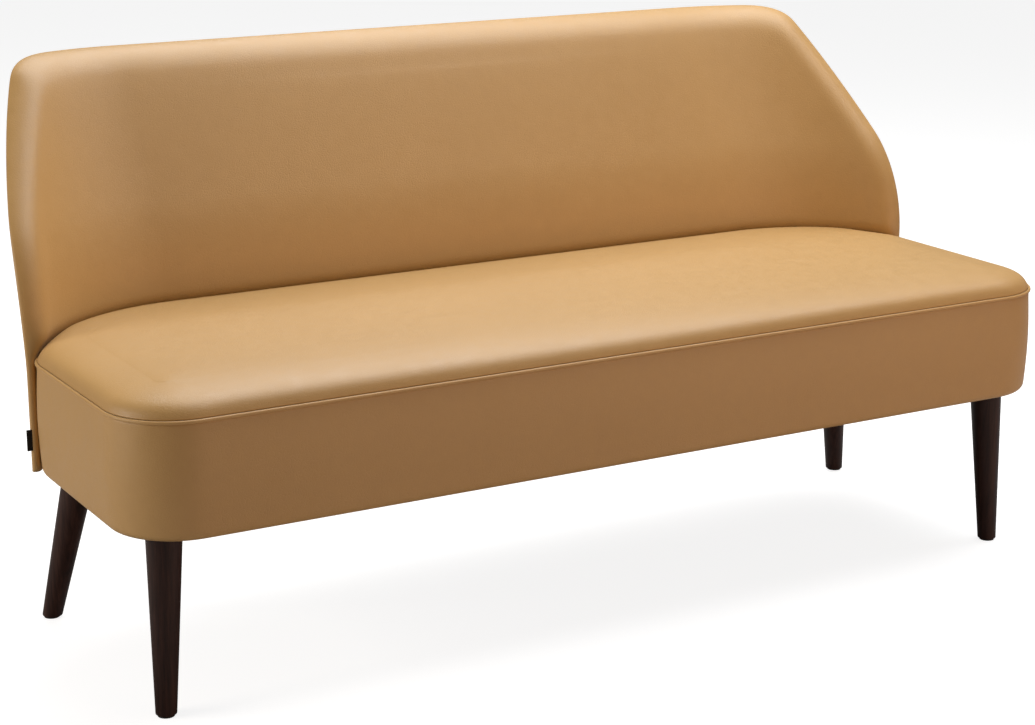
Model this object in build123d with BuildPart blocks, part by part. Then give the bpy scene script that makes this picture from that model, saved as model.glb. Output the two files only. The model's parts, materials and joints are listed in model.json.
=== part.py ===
"""Upholstered sofa with a wrap-around moulded back and four tapered wooden legs.

Millimetres, +Z up, +X along the seat, the sitter faces -Y. The origin is on the floor, under the
middle of the sofa's overall box.
"""

import os
from math import atan2, degrees, floor, radians, sqrt, tan

from build123d import *

os.makedirs("parts", exist_ok=True)

# ---------------------------------------------------------------- seat: outside sizes
seat_width = 1600.0
seat_bottom_z = 270.0
piping_z = 439.0
seat_crown = 31.0  # rise of the seat top above the piping
front_corner_r = 103.0
side_blend_r = 100.0  # rounds the straight side into the rear curve
apron_edge_r = 12.0

# ---------------------------------------------------------------- back: outside sizes
back_top_z = 846.0
back_curve_setback = 268.0  # middle of each end curve, seen from above, in from the seat's side
back_centre_depth = 242.0  # its distance behind the seat front
back_outer_r = 322.0
back_lean = 27.2  # degrees from upright, above the seat
back_bend_z = 521.0  # height where upright and leaning lines cross
back_bend_r = 460.0
wing_front_setback = 169.0  # wing's upright front edge, behind the middle of the end curve
wing_knee_z = 557.0
wing_slope = 42.0  # degrees from upright, seen from the side
wing_knee_r = 280.0
wing_top_r = 80.0

# ---------------------------------------------------------------- sheet and layer thicknesses
leather = 1.2
back_felt = 1.5
shell_ply = 7.0
back_foam_t = 20.0
back_foam_inset = 22.0  # foam stops this far inside the shell's rim
back_foam_lift = 3.0  # foam starts this far above the seat crown
border_pad_t = 5.0
facing_t = 3.0
wadding_t = 4.0
ring_ply = 18.0
ring_width = 70.0
ring_lift = 4.0  # lower ring above the apron's bottom edge
ring_gap = 72.0  # clear height between the two rings
rail_t = 25.0
cross_rail_t = 32.0
cross_rail_setback = 430.0  # outer cross rails, in from the seat's sides
dust_cover_t = 0.8
dust_cover_inset = 15.0
border_flange = 25.0  # apron leather turned under the frame
crown_land = 0.1  # upright part left below the crown's rounding
facing_lift = 8.0  # facing and border padding start this far above the lower ring's underside
felt_lift = 1.0  # spring felt above the clips
rail_end_gap = 30.0  # front and rear rails stop this far short of the curves
side_rail_front_gap = 40.0
side_rail_rear_gap = 10.0

# ---------------------------------------------------------------- clearances
seat_to_back_gap = 3.6
facing_to_ring_gap = 0.2
hole_gap = 0.1
bolt_passage_gap = 5.0
cut_past = 1.0  # cutting shapes pass this far beyond a face
cut_overrun = 20.0  # and this far where nothing else is near

# ---------------------------------------------------------------- suspension
wire_r = 1.9
spring_count = 9
spring_end_setback = 200.0  # outermost springs, in from the seat's sides
spring_wave = 26.0  # along the seat's depth, wire to wire
spring_half_width = 26.0
clip_t = 1.5
clip_width = 20.0
clip_inset = 12.0  # last wire behind the ring's inner edge
clip_tail = 14.0
clip_lip = 3.0
clip_screw_edge = 4.0  # screw centre from the clip's tail end
felt_t = 3.0
edge_strip_width = 36.0
core_t = 38.0

# ---------------------------------------------------------------- fasteners
screw_r = 1.6
screw_head_r = 3.4
screw_head_t = 1.6
screw_length = 15.0
frame_screw_r = 2.2
frame_screw_head_r = 4.2
frame_screw_length = 50.0
frame_screw_shares = (-0.9, -0.45, 0.45, 0.9)  # of half the rear rail's length
frame_screw_end = 30.0  # outer side screws from the ends of the side rails
frame_head_depth = 3.0
back_bolt_r = 3.0
back_bolt_head_r = 6.0
back_bolt_head_t = 3.5
back_bolt_setback = 92.0  # outer bolts, in from the middle of the end curve
back_bolt_edge = 18.0  # bolts from the lower and upper rings
back_bolt_end_gap = 1.0
tee_flange_r = 8.0
tee_flange_t = 1.2
tee_barrel_r = 4.0
tee_barrel_length = 6.0
spacer_width = 60.0

# ---------------------------------------------------------------- legs
leg_top_r = 26.2
leg_foot_r = 15.0
leg_front_foot = (58.4, 67.4)  # in from the seat's side, behind the seat front
leg_front_top = (69.8, 77.6)
leg_rear_foot = (44.4, 268.4)  # in from the seat's side, behind the middle of the end curve
leg_rear_top = (92.5, 223.7)
leg_block_size = 96.0
leg_block_t = 45.0
leg_bolt_r = 4.0
leg_bolt_in_leg = 38.0
leg_bolt_play = 2.0  # empty hole past the bolt's lower end
leg_bolt_cover = 8.0  # block left above the bolt's upper end
leg_foot_edge_r = 1.5
leg_top_edge_r = 1.0
insert_wall = 2.0
insert_lift = 4.0  # insert's lower end above the block's underside
glide_t = 3.0
glide_inset = 3.0
glide_nail_r = 1.0
glide_nail_length = 14.0
glide_nail_play = 1.0
glide_head_r = 3.0
glide_head_t = 1.0

# ---------------------------------------------------------------- piping, staples, tab
piping_r = 2.8
piping_cord_r = 1.6
staple_width = 10.0
staple_wire = 0.7
staple_spacing = 90.0
staple_edge = 6.0  # staples from the dust cover's edge
tab_width = 11.0
tab_lap = 6.0  # part of the tab's width that lies on the rim
tab_height = 32.0
tab_t = 2.0
tab_edge_r = 0.95
tab_z = 303.0

# ---------------------------------------------------------------- worked-out places
back_centre_x = seat_width / 2 - back_curve_setback
wing_front_depth = back_centre_depth + wing_front_setback
back_bolt_x = (back_bolt_setback - back_centre_x, 0.0, back_centre_x - back_bolt_setback)
cross_rail_x = seat_width / 2 - cross_rail_setback
spring_pitch_x = (seat_width - 2 * spring_end_setback) / (spring_count - 1)
lean = radians(back_lean)
back_reach = back_centre_depth + (back_top_z - back_bend_z) * tan(lean) + back_outer_r
seat_front = -back_reach / 2
centre_y = seat_front + back_centre_depth

shell_outer_r = back_outer_r - leather - back_felt
shell_inner_r = shell_outer_r - shell_ply
lining_r = shell_inner_r - leather
foam_face_r = shell_inner_r - back_foam_t
seat_rear_r = lining_r - seat_to_back_gap

pad_inset = leather
facing_inset = pad_inset + border_pad_t
ring_inset = facing_inset + facing_t + facing_to_ring_gap
ring_inner_inset = ring_inset + ring_width

ring_low_z = seat_bottom_z + ring_lift
rail_z = ring_low_z + ring_ply
ring_top_z = rail_z + ring_gap
deck_z = ring_top_z + ring_ply
wire_z = deck_z + clip_t + wire_r + hole_gap
clip_top_z = wire_z + wire_r + hole_gap + clip_t
felt_z = clip_top_z + felt_lift
core_z = felt_z + felt_t
topper_z = core_z + core_t
seat_top_z = piping_z + seat_crown
back_foam_z = seat_top_z + back_foam_lift

rear_inner_y = centre_y + seat_rear_r - ring_inset
front_inner_y = seat_front + ring_inset
leg_top_z = seat_bottom_z - dust_cover_t

blend_x = seat_width / 2 - side_blend_r
blend_reach = seat_rear_r - side_blend_r
blend_y = centre_y + sqrt(blend_reach**2 - (blend_x - back_centre_x) ** 2)
blend_angle = degrees(atan2(blend_y - centre_y, blend_x - back_centre_x))


def save(piece, name):
    """Label a finished piece and write its file."""
    piece.part.label = name
    export_step(piece.part, f"parts/{name}.step")


# ================================================================ seat outline and slabs
def seat_outline(inset):
    """Plan of the seat, drawn inset inside the finished outline: straight front and sides,
    round front corners, and a rear that follows the curve of the back."""
    half = seat_width / 2
    rear_r = seat_rear_r - inset
    with BuildSketch(mode=Mode.PRIVATE) as plan:
        with BuildLine():
            Line((0, seat_front + inset), (half - front_corner_r, seat_front + inset))
            CenterArc((half - front_corner_r, seat_front + front_corner_r), front_corner_r - inset, -90, 90)
            Line((half - inset, seat_front + front_corner_r), (half - inset, blend_y))
            CenterArc((blend_x, blend_y), side_blend_r - inset, 0, blend_angle)
            CenterArc((back_centre_x, centre_y), rear_r, blend_angle, 90 - blend_angle)
            Line((back_centre_x, centre_y + rear_r), (0, centre_y + rear_r))
            mirror(about=Plane.YZ)
        make_face()
    return plan.sketch


def slab(inset, low, high, top_r=0.0, bottom_r=0.0):
    """Solid of the seat's plan between two heights, with its rim rounded if asked."""
    with BuildPart(mode=Mode.PRIVATE) as block:
        with BuildSketch(Plane.XY.offset(low)):
            add(seat_outline(inset))
        extrude(amount=high - low)
        if top_r > 0:
            fillet(block.faces().sort_by(Axis.Z)[-1].edges(), top_r)
        if bottom_r > 0:
            fillet(block.faces().sort_by(Axis.Z)[0].edges(), bottom_r)
    return block.part


def wall(outer_inset, inner_inset, low, high):
    """Ring of the seat's plan between two insets."""
    with BuildPart(mode=Mode.PRIVATE) as ring:
        with BuildSketch(Plane.XY.offset(low)):
            add(seat_outline(outer_inset))
            add(seat_outline(inner_inset), mode=Mode.SUBTRACT)
        extrude(amount=high - low)
    return ring.part


def bar(centre, size, height_from):
    """Upright-sided bar, given by the middle of its plan, its plan size, and its bottom."""
    with BuildPart(mode=Mode.PRIVATE) as block:
        with BuildSketch(Plane.XY.offset(height_from)):
            with Locations(centre):
                Rectangle(size[0], size[1])
        extrude(amount=size[2])
    return block.part


# ================================================================ leg axes
def leg_axis(foot, top, origin_y, side):
    """Foot point on the floor and unit direction of a leg's axis; side is -1 left, +1 right."""
    start = Vector(side * (seat_width / 2 - foot[0]), origin_y + foot[1], 0)
    end = Vector(side * (seat_width / 2 - top[0]), origin_y + top[1], seat_bottom_z)
    return start, (end - start).normalized()


leg_axes = {
    "front_left": leg_axis(leg_front_foot, leg_front_top, seat_front, -1),
    "front_right": leg_axis(leg_front_foot, leg_front_top, seat_front, 1),
    "rear_left": leg_axis(leg_rear_foot, leg_rear_top, centre_y, -1),
    "rear_right": leg_axis(leg_rear_foot, leg_rear_top, centre_y, 1),
}


def point_at_height(axis, height):
    """Point of a leg's axis at a height."""
    start, way = axis
    return start + way * (height / way.Z)


def rod(axis, radius, low, high):
    """Round rod along a leg's axis, its square ends at two heights of that axis."""
    start = point_at_height(axis, low)
    length = (high - low) / axis[1].Z
    with BuildPart(mode=Mode.PRIVATE) as pin:
        with BuildSketch(Plane(origin=start, z_dir=axis[1])):
            Circle(radius)
        extrude(amount=length)
    return pin.part


# bolt passages through everything between a leg and its block
bolt_passages = [
    rod(axis, leg_bolt_r + bolt_passage_gap, seat_bottom_z - cut_overrun, rail_z + cut_overrun)
    for axis in leg_axes.values()
]
bolt_low_z = leg_top_z - leg_bolt_in_leg
bolt_high_z = rail_z + leg_block_t - leg_bolt_cover

# ================================================================ legs, glides and leg fixings
for place, axis in leg_axes.items():
    taper = (leg_top_r - leg_foot_r) / (seat_bottom_z / axis[1].Z)
    cone_length = seat_bottom_z / axis[1].Z + 2 * cut_overrun
    with BuildPart() as leg:
        with Locations(Plane(origin=axis[0] - axis[1] * cut_overrun, z_dir=axis[1])):
            Cone(
                leg_foot_r - taper * cut_overrun,
                leg_top_r + taper * cut_overrun,
                cone_length,
                align=(Align.CENTER, Align.CENTER, Align.MIN),
            )
        split(bisect_by=Plane.XY.offset(glide_t), keep=Keep.TOP)
        split(bisect_by=Plane.XY.offset(leg_top_z), keep=Keep.BOTTOM)
        fillet(leg.faces().sort_by(Axis.Z)[0].edges(), leg_foot_edge_r)
        fillet(leg.faces().sort_by(Axis.Z)[-1].edges(), leg_top_edge_r)
        add(rod(axis, leg_bolt_r + hole_gap, bolt_low_z, seat_bottom_z + cut_overrun), mode=Mode.SUBTRACT)
        foot = Vector(axis[0].X, axis[0].Y, glide_t)
        with BuildSketch(Plane(origin=foot)):
            Circle(glide_nail_r + hole_gap)
        extrude(amount=glide_nail_length, mode=Mode.SUBTRACT)
    save(leg, f"leg_{place}")

with BuildPart() as glides:
    for axis in leg_axes.values():
        with BuildSketch(Plane(origin=axis[0])):
            Circle(leg_foot_r - glide_inset)
            Circle(glide_nail_r + hole_gap, mode=Mode.SUBTRACT)
        extrude(amount=glide_t)
        with BuildSketch(Plane(origin=axis[0])):
            Circle(glide_head_r + hole_gap)
        extrude(amount=glide_head_t + hole_gap, mode=Mode.SUBTRACT)
save(glides, "leg_glides")

with BuildPart() as glide_nails:
    for axis in leg_axes.values():
        with BuildSketch(Plane(origin=axis[0] + Vector(0, 0, hole_gap))):
            Circle(glide_head_r)
        extrude(amount=glide_head_t)
        with BuildSketch(Plane(origin=axis[0] + Vector(0, 0, glide_head_t))):
            Circle(glide_nail_r)
        extrude(amount=glide_t + glide_nail_length - glide_head_t - glide_nail_play)
save(glide_nails, "glide_nails")

with BuildPart() as leg_bolts:
    for axis in leg_axes.values():
        add(rod(axis, leg_bolt_r, bolt_low_z + leg_bolt_play, bolt_high_z))
save(leg_bolts, "leg_bolts")

with BuildPart() as leg_inserts:
    for axis in leg_axes.values():
        add(rod(axis, leg_bolt_r + hole_gap + insert_wall, rail_z + insert_lift, bolt_high_z))
        add(rod(axis, leg_bolt_r + hole_gap, rail_z, bolt_high_z + cut_overrun), mode=Mode.SUBTRACT)
save(leg_inserts, "leg_inserts")

# hardwood blocks on the lower ring, cut to the frame's outline
for place, axis in leg_axes.items():
    middle = point_at_height(axis, rail_z + leg_block_t / 2)
    with BuildPart() as leg_block:
        with BuildSketch(Plane.XY.offset(rail_z)):
            with Locations((middle.X, middle.Y)):
                Rectangle(leg_block_size, leg_block_size)
            add(seat_outline(ring_inset), mode=Mode.INTERSECT)
        extrude(amount=leg_block_t)
        add(rod(axis, leg_bolt_r + hole_gap, rail_z - cut_overrun, bolt_high_z), mode=Mode.SUBTRACT)
        bore_r = leg_bolt_r + 2 * hole_gap + insert_wall
        add(rod(axis, bore_r, rail_z + insert_lift, bolt_high_z), mode=Mode.SUBTRACT)
    save(leg_block, f"leg_block_{place}")

# ================================================================ seat frame
rail_length = 2 * (seat_width / 2 - front_corner_r - rail_end_gap)
rear_rail_length = 2 * (back_centre_x - rail_end_gap)
side_rail_low = seat_front + front_corner_r + side_rail_front_gap
side_rail_high = blend_y - side_rail_rear_gap
front_rail_y = front_inner_y + rail_t / 2
rear_rail_y = rear_inner_y - rail_t / 2

# screws drop through the upper ring into the rails
frame_screw_x = [share * rear_rail_length / 2 for share in frame_screw_shares]
frame_screw_points = [(x, y) for y in (front_rail_y, rear_rail_y) for x in frame_screw_x]
side_x = seat_width / 2 - ring_inset - rail_t / 2
frame_screw_points += [
    (side * side_x, y)
    for side in (-1, 1)
    for y in (side_rail_low + frame_screw_end, side_rail_high - frame_screw_end)
]


def screw_holes(radius, low, high):
    """Round holes at every frame screw, between two heights."""
    with BuildPart(mode=Mode.PRIVATE) as drills:
        with BuildSketch(Plane.XY.offset(low)):
            with Locations(*frame_screw_points):
                Circle(radius)
        extrude(amount=high - low)
    return drills.part


frame_screw_tip_z = deck_z - frame_screw_length
frame_pilots = screw_holes(frame_screw_r + hole_gap, frame_screw_tip_z - cut_past, deck_z + cut_past)
frame_head_z = deck_z - frame_head_depth
frame_head_seats = screw_holes(frame_screw_head_r + hole_gap, frame_head_z, deck_z + cut_past)

clip_y_front = seat_front + ring_inner_inset - clip_inset
spring_x = [(i - (spring_count - 1) / 2) * spring_pitch_x for i in range(spring_count)]


def clip_y_rear(x):
    """Place of a spring's last wire, which follows the curve of the ring's inner edge."""
    past = max(0.0, abs(x) + clip_width / 2 - back_centre_x)
    return centre_y + sqrt((seat_rear_r - ring_inner_inset) ** 2 - past**2) + clip_inset


clip_screw_points = [(x, clip_y_front - clip_tail + clip_screw_edge) for x in spring_x]
clip_screw_points += [(x, clip_y_rear(x) + clip_tail - clip_screw_edge) for x in spring_x]

with BuildPart() as frame_ring_lower:
    add(wall(ring_inset, ring_inner_inset, ring_low_z, rail_z))
    for passage in bolt_passages:
        add(passage, mode=Mode.SUBTRACT)
save(frame_ring_lower, "frame_ring_lower")

with BuildPart() as frame_ring_upper:
    add(wall(ring_inset, ring_inner_inset, ring_top_z, deck_z))
    add(frame_pilots, mode=Mode.SUBTRACT)
    add(frame_head_seats, mode=Mode.SUBTRACT)
    with BuildSketch(Plane.XY.offset(deck_z - screw_length)):
        with Locations(*clip_screw_points):
            Circle(screw_r + hole_gap)
    extrude(amount=screw_length, mode=Mode.SUBTRACT)
save(frame_ring_upper, "frame_ring_upper")

# back bolts run along Y through rail, apron and shell
bolt_heights = (rail_z + back_bolt_edge, ring_top_z - back_bolt_edge)
bolt_points = [(x, z) for x in back_bolt_x for z in bolt_heights]
bolt_head_y = rear_rail_y - rail_t / 2
tee_face_y = centre_y + shell_outer_r
tee_barrel_y = tee_face_y - tee_barrel_length


def back_holes(radius, y_low, y_high):
    """Round holes along Y at every back bolt."""
    with BuildPart(mode=Mode.PRIVATE) as drills:
        with BuildSketch(Plane.XZ.offset(-y_low)):
            with Locations(*bolt_points):
                Circle(radius)
        extrude(amount=y_low - y_high)
    return drills.part


back_passages = back_holes(back_bolt_r + hole_gap, bolt_head_y - cut_past, tee_face_y + cut_past)

rails = {
    "front_rail": bar((0, front_rail_y), (rail_length, rail_t, ring_gap), rail_z),
    "rear_rail": bar((0, rear_rail_y), (rear_rail_length, rail_t, ring_gap), rail_z),
}
for side, sign in (("left", -1), ("right", 1)):
    middle_y = (side_rail_low + side_rail_high) / 2
    size = (rail_t, side_rail_high - side_rail_low, ring_gap)
    rails[f"side_rail_{side}"] = bar((sign * side_x, middle_y), size, rail_z)
cross_low = front_rail_y + rail_t / 2
cross_high = rear_rail_y - rail_t / 2
centre_rail_x = back_bolt_head_r + cross_rail_t  # beside the middle bolts
for place, x in (("left", -cross_rail_x), ("centre", centre_rail_x), ("right", cross_rail_x)):
    size = (cross_rail_t, cross_high - cross_low, ring_gap)
    rails[f"cross_rail_{place}"] = bar((x, (cross_low + cross_high) / 2), size, rail_z)
for name, shape in rails.items():
    with BuildPart() as rail:
        add(shape)
        add(frame_pilots, mode=Mode.SUBTRACT)
        add(back_passages, mode=Mode.SUBTRACT)
    save(rail, name)

with BuildPart() as frame_screws:
    add(screw_holes(frame_screw_r, frame_screw_tip_z, frame_head_z))
    add(screw_holes(frame_screw_head_r, frame_head_z + hole_gap / 2, deck_z - hole_gap))
save(frame_screws, "frame_screws")

# bent sheet that closes the open box between the rings
with BuildPart() as frame_facing:
    add(wall(facing_inset, facing_inset + facing_t, ring_low_z + facing_lift, deck_z))
    add(back_passages, mode=Mode.SUBTRACT)
save(frame_facing, "frame_facing")

# ================================================================ suspension
with BuildPart() as springs:
    for x in spring_x:
        reach = clip_y_rear(x) - clip_y_front
        turns = floor(reach / spring_wave)
        wave = reach / turns
        run = spring_half_width - wave / 2
        with BuildLine() as zigzag:
            for k in range(turns + 1):
                y = clip_y_front + k * wave
                way = 1 if k % 2 == 0 else -1
                Line((x - way * run, y, wire_z), (x + way * run, y, wire_z))
                if k < turns:
                    turn = (x + way * spring_half_width, y + wave / 2, wire_z)
                    ThreePointArc((x + way * run, y, wire_z), turn, (x + way * run, y + wave, wire_z))
        with BuildSketch(Plane(origin=zigzag.line @ 0, z_dir=zigzag.line % 0)):
            Circle(wire_r)
        sweep(path=zigzag.line)
save(springs, "springs")


def clip_profile(y, inward):
    """U-shaped clip lying round the last wire, open towards the seat's middle."""
    reach = wire_r + hole_gap
    low = deck_z
    top = wire_z + reach
    tail = y - inward * clip_tail
    web = y - inward * (reach + clip_t)
    lip = y + inward * (reach + clip_lip)
    inner = y - inward * reach
    with BuildSketch(mode=Mode.PRIVATE) as side:
        with BuildLine():
            Polyline(
                (tail, low),
                (lip, low),
                (lip, low + clip_t),
                (inner, low + clip_t),
                (inner, top),
                (lip, top),
                (lip, top + clip_t),
                (web, top + clip_t),
                (web, low + clip_t),
                (tail, low + clip_t),
                close=True,
            )
        make_face()
    return side.sketch


with BuildPart() as spring_clips:
    for x in spring_x:
        for y, inward in ((clip_y_front, 1), (clip_y_rear(x), -1)):
            with BuildSketch(Plane.YZ.offset(x)):
                add(clip_profile(y, inward))
            extrude(amount=clip_width / 2, both=True)
    with BuildSketch(Plane.XY.offset(deck_z)):
        with Locations(*clip_screw_points):
            Circle(screw_r + hole_gap)
    extrude(amount=clip_t, mode=Mode.SUBTRACT)
save(spring_clips, "spring_clips")

with BuildPart() as clip_screws:
    with BuildSketch(Plane.XY.offset(deck_z + clip_t)):
        with Locations(*clip_screw_points):
            Circle(screw_head_r)
    extrude(amount=screw_head_t)
    with BuildSketch(Plane.XY.offset(deck_z + clip_t)):
        with Locations(*clip_screw_points):
            Circle(screw_r)
    extrude(amount=clip_t - screw_length)
save(clip_screws, "clip_screws")

with BuildPart() as spring_felt:
    add(slab(facing_inset, felt_z, core_z))
save(spring_felt, "spring_felt")

# ================================================================ seat padding
with BuildPart() as edge_strip:
    add(wall(facing_inset, facing_inset + edge_strip_width, deck_z, felt_z))
save(edge_strip, "edge_strip")

with BuildPart() as seat_foam_core:
    add(slab(facing_inset, core_z, topper_z))
save(seat_foam_core, "seat_foam_core")

piping_groove_r = piping_r + hole_gap


def piping_run(radius):
    """Round cord along the seat's outline at the height of the piping."""
    with BuildPart(mode=Mode.PRIVATE) as cord:
        with BuildLine() as route:
            add(seat_outline(0).wires()[0].moved(Location((0, 0, piping_z))))
        with BuildSketch(Plane(origin=route.line @ 0, z_dir=route.line % 0)):
            Circle(radius)
        sweep(path=route.line, transition=Transition.RIGHT)
    return cord.part


piping_groove = piping_run(piping_groove_r)

topper_top_z = seat_top_z - leather - wadding_t
cover_inner_r = seat_crown - leather - crown_land
with BuildPart() as seat_foam_topper:
    add(slab(facing_inset, topper_z, topper_top_z, top_r=seat_crown - facing_inset))
save(seat_foam_topper, "seat_foam_topper")

with BuildPart() as seat_wadding:
    add(slab(leather, piping_z, seat_top_z - leather, top_r=cover_inner_r))
    topper_r = seat_crown - facing_inset
    add(slab(facing_inset, piping_z - cut_past, topper_top_z, top_r=topper_r), mode=Mode.SUBTRACT)
    add(piping_groove, mode=Mode.SUBTRACT)
save(seat_wadding, "seat_wadding")

with BuildPart() as border_padding:
    add(wall(pad_inset, facing_inset, ring_low_z + facing_lift, piping_z))
    add(piping_groove, mode=Mode.SUBTRACT)
    add(back_passages, mode=Mode.SUBTRACT)
save(border_padding, "border_padding")

# ================================================================ seat covers
with BuildPart() as seat_top_cover:
    add(slab(0, piping_z, seat_top_z, top_r=seat_crown - crown_land))
    inside = slab(leather, piping_z - cut_past, seat_top_z - leather, top_r=cover_inner_r)
    add(inside, mode=Mode.SUBTRACT)
    add(piping_groove, mode=Mode.SUBTRACT)
save(seat_top_cover, "seat_top_cover")

with BuildPart() as seat_border_cover:
    add(slab(0, seat_bottom_z, piping_z, bottom_r=apron_edge_r))
    inner_r = apron_edge_r - leather
    add(slab(leather, seat_bottom_z + leather, piping_z + cut_past, bottom_r=inner_r), mode=Mode.SUBTRACT)
    add(slab(border_flange, seat_bottom_z - cut_past, seat_bottom_z + 2 * leather), mode=Mode.SUBTRACT)
    add(piping_groove, mode=Mode.SUBTRACT)
    add(back_passages, mode=Mode.SUBTRACT)
    for passage in bolt_passages:
        add(passage, mode=Mode.SUBTRACT)
save(seat_border_cover, "seat_border_cover")

with BuildPart() as piping_cover:
    add(piping_run(piping_r))
    add(piping_run(piping_cord_r + hole_gap), mode=Mode.SUBTRACT)
save(piping_cover, "piping_cover")

with BuildPart() as piping_cord:
    add(piping_run(piping_cord_r))
save(piping_cord, "piping_cord")

# ================================================================ underside
with BuildPart() as dust_cover:
    add(slab(dust_cover_inset, leg_top_z, seat_bottom_z))
    for passage in bolt_passages:
        add(passage, mode=Mode.SUBTRACT)
save(dust_cover, "dust_cover")

staple_count = floor((seat_width - 2 * front_corner_r) / staple_spacing)
staple_x = [(i - (staple_count - 1) / 2) * staple_spacing for i in range(staple_count)]
staple_inset = dust_cover_inset + staple_edge
with BuildPart() as dust_cover_staples:
    with BuildSketch(Plane.XY.offset(leg_top_z - staple_wire)):
        for y in (seat_front + staple_inset, centre_y + seat_rear_r - staple_inset):
            with Locations(*[(x, y) for x in staple_x if abs(x) < back_centre_x]):
                Rectangle(staple_width, staple_wire)
    extrude(amount=staple_wire)
save(dust_cover_staples, "dust_cover_staples")

# ================================================================ back
def back_side(inset, low=0.0):
    """Side view of the back, drawn inset inside its finished outline and cut off below low."""
    rim_y = seat_front + wing_front_depth
    rise = back_top_z - wing_knee_z
    corner_y = rim_y + rise * tan(radians(wing_slope))
    behind = seat_front + 2 * back_reach
    with BuildSketch(mode=Mode.PRIVATE) as side:
        with BuildLine():
            FilletPolyline(
                (behind, back_top_z),
                (corner_y, back_top_z),
                (rim_y, wing_knee_z),
                (rim_y, seat_bottom_z),
                (behind, seat_bottom_z),
                radius=(wing_top_r, wing_knee_r, 0),
                close=False,
            )
            Line((behind, seat_bottom_z), (behind, back_top_z))
        make_face()
        if inset > 0:
            offset(amount=-inset, kind=Kind.INTERSECTION)
        if low > 0:
            with Locations((0, low)):
                Rectangle(4 * behind, back_top_z, align=(Align.CENTER, Align.MIN), mode=Mode.INTERSECT)
    return side.sketch


def back_band(outer_r, inner_r, inset, low=0.0):
    """Layer of the back between two radii of its plan: carried straight up, round the bend and
    along the lean without turning, then cut to the side outline."""
    start = seat_bottom_z - cut_overrun
    end_z = back_top_z + cut_overrun
    with BuildPart(mode=Mode.PRIVATE) as band:
        with BuildLine() as climb:
            FilletPolyline(
                (0, 0, start),
                (0, 0, back_bend_z),
                (0, (end_z - back_bend_z) * tan(lean), end_z),
                radius=back_bend_r,
            )
        with BuildSketch(Plane.XY.offset(start)):
            with BuildLine():
                Line((0, centre_y + outer_r), (back_centre_x, centre_y + outer_r))
                CenterArc((back_centre_x, centre_y), outer_r, 0, 90)
                Line((back_centre_x + outer_r, centre_y), (back_centre_x + inner_r, centre_y))
                CenterArc((back_centre_x, centre_y), inner_r, 0, 90)
                Line((back_centre_x, centre_y + inner_r), (0, centre_y + inner_r))
                mirror(about=Plane.YZ)
            make_face()
        sweep(path=climb.line, normal=(0, 0, 1))
        with BuildSketch(Plane.YZ):
            add(back_side(inset, low))
        extrude(amount=seat_width, both=True, mode=Mode.INTERSECT)
    return band.part


with BuildPart() as back_shell:
    add(back_band(shell_outer_r, shell_inner_r, leather))
    add(back_passages, mode=Mode.SUBTRACT)
    tee_outer_y = tee_face_y + cut_past
    add(back_holes(tee_barrel_r + hole_gap, tee_barrel_y, tee_outer_y), mode=Mode.SUBTRACT)
    add(back_holes(tee_flange_r + hole_gap, tee_face_y - tee_flange_t, tee_outer_y), mode=Mode.SUBTRACT)
save(back_shell, "back_shell")

with BuildPart() as back_foam:
    add(back_band(shell_inner_r, foam_face_r, back_foam_inset, back_foam_z))
save(back_foam, "back_foam")

with BuildPart() as back_felt_layer:
    add(back_band(shell_outer_r + back_felt, shell_outer_r, leather))
save(back_felt_layer, "back_felt")

with BuildPart() as back_rear_cover:
    add(back_band(back_outer_r, back_outer_r - leather, leather))
save(back_rear_cover, "back_rear_cover")

# front cover: lining on the shell, a raised part over the foam, and a strip round the rim
with BuildPart() as back_front_cover:
    add(back_band(shell_inner_r, lining_r, leather))
    add(back_band(shell_inner_r, foam_face_r - leather, back_foam_inset - leather, back_foam_z - leather))
    add(back_band(shell_inner_r + cut_past, foam_face_r, back_foam_inset, back_foam_z), mode=Mode.SUBTRACT)
    add(back_passages, mode=Mode.SUBTRACT)
save(back_front_cover, "back_front_cover")

with BuildPart() as back_rim_strip:
    add(back_band(back_outer_r, lining_r, 0))
    add(back_band(back_outer_r + cut_past, lining_r - cut_past, leather), mode=Mode.SUBTRACT)
save(back_rim_strip, "back_rim_strip")

# ================================================================ back fixings
spacer_y = centre_y + seat_rear_r
with BuildPart() as back_spacers:
    for x in back_bolt_x:
        size = (spacer_width, seat_to_back_gap, ring_gap)
        add(bar((x, spacer_y + seat_to_back_gap / 2), size, rail_z))
    add(back_passages, mode=Mode.SUBTRACT)
save(back_spacers, "back_spacers")

with BuildPart() as back_bolts:
    add(back_holes(back_bolt_r, bolt_head_y, tee_face_y - back_bolt_end_gap))
    add(back_holes(back_bolt_head_r, bolt_head_y - back_bolt_head_t, bolt_head_y))
save(back_bolts, "back_bolts")

with BuildPart() as back_tee_nuts:
    add(back_holes(tee_flange_r, tee_face_y - tee_flange_t, tee_face_y))
    add(back_holes(tee_barrel_r, tee_barrel_y, tee_face_y - tee_flange_t))
    thread_r = back_bolt_r + hole_gap / 2
    add(back_holes(thread_r, tee_barrel_y - cut_past, tee_face_y + cut_past), mode=Mode.SUBTRACT)
save(back_tee_nuts, "back_tee_nuts")

# ================================================================ sewn tab on the left wing seam
tab_y = seat_front + wing_front_depth
tab_x = -back_centre_x - sqrt(back_outer_r**2 - (wing_front_depth - back_centre_depth) ** 2)
with BuildPart() as seam_tab:
    tab_middle = (tab_x + tab_lap - tab_width / 2, tab_y - tab_t / 2 - hole_gap)
    add(bar(tab_middle, (tab_width, tab_t, tab_height), tab_z))
    fillet(seam_tab.edges().filter_by(Axis.Z).sort_by(Axis.X)[:2], tab_edge_r)
save(seam_tab, "seam_tab")
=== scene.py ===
"""Looks of the leather sofa: leather back and seat, welted apron, dark stained legs, underside.

Metres, in the row frame: +X along the seat, the sitter faces -Y, floor at z = 0.
"""

import json
import math

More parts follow.
